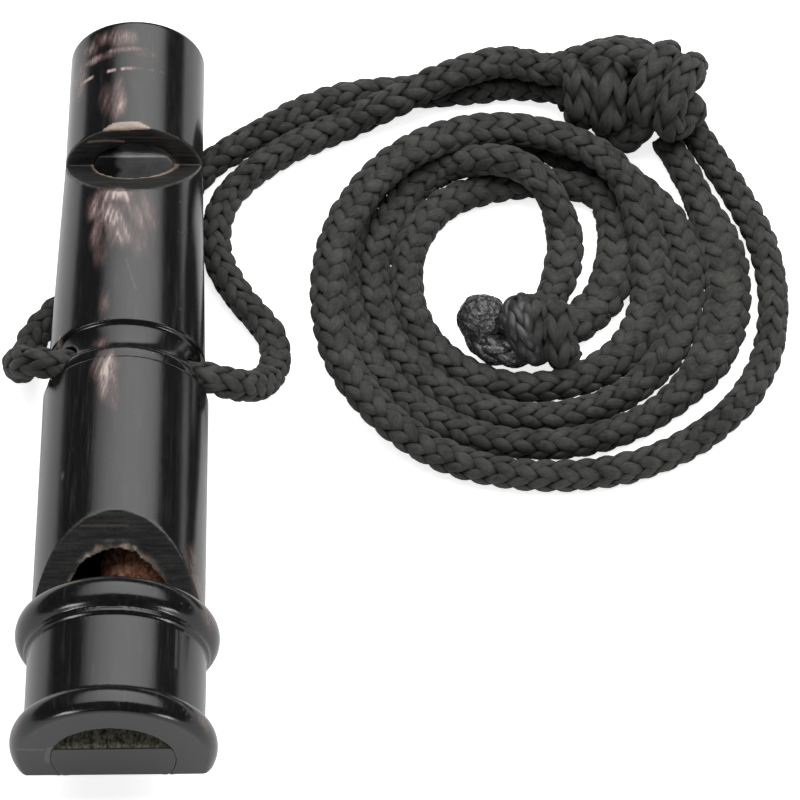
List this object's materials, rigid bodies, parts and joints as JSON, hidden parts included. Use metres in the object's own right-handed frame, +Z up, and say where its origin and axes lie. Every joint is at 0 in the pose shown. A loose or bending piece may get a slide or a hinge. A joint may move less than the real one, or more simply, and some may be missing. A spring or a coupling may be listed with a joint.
{
  "type": "dog whistle",
  "caption": "Turned black horn dog whistle: a trill mouth with a loose cork pea at the wide end, a plain tone mouth at the far end, and a coiled, knotted neck cord through its waist.",
  "frame": {"origin": "centre of the trill mouth's end face, on the bore axis", "axes": "+Y along the bore axis towards the tone end, +Z up out of the windows, +X towards the coiled cord"},
  "size_m": [0.096, 0.1062, 0.0234],
  "materials": {
    "horn": "polished black buffalo horn",
    "horn_block": "satin black horn",
    "cork": "rough reddish cork",
    "cord": "matte black braid",
    "melted_cord": "melted, glossy black"
  },
  "bodies": {
    "whistle": {"horn_body": "horn", "trill_block": "horn_block", "tone_block": "horn_block"},
    "pea": {"cork_pea": "cork"},
    "bridle": {"bridle_cord": "cord", "lanyard_knot": "cord"},
    "neck_loop": {"neck_strand_outer": "cord", "neck_strand_inner": "cord"},
    "loop_end": {"end_knot": "cord", "sealed_end": "melted_cord"}
  },
  "joints": [
    {"name": "pea_slide", "type": "slide", "parent": "whistle", "child": "pea", "axis": [0, 1, 0], "range_m": [-0.0035, 0.014]},
    {"name": "bridle_swing", "type": "hinge", "parent": "whistle", "child": "bridle", "pos_m": [0, 0.0504, 0.0035], "axis": [-0.9848, 0, 0.1736], "range_deg": [0, 90]},
    {"name": "neck_loop_swing", "type": "hinge", "parent": "bridle", "child": "neck_loop", "pos_m": [0.0694, 0.0957, -0.0098], "axis": [0, 0, 1], "range_deg": [0, 70]},
    {"name": "end_knot_lift", "type": "hinge", "parent": "neck_loop", "child": "loop_end", "pos_m": [0.0535, 0.0683, -0.0096], "axis": [-0.49, 0.8717, 0], "range_deg": [0, 60]}
  ]
}
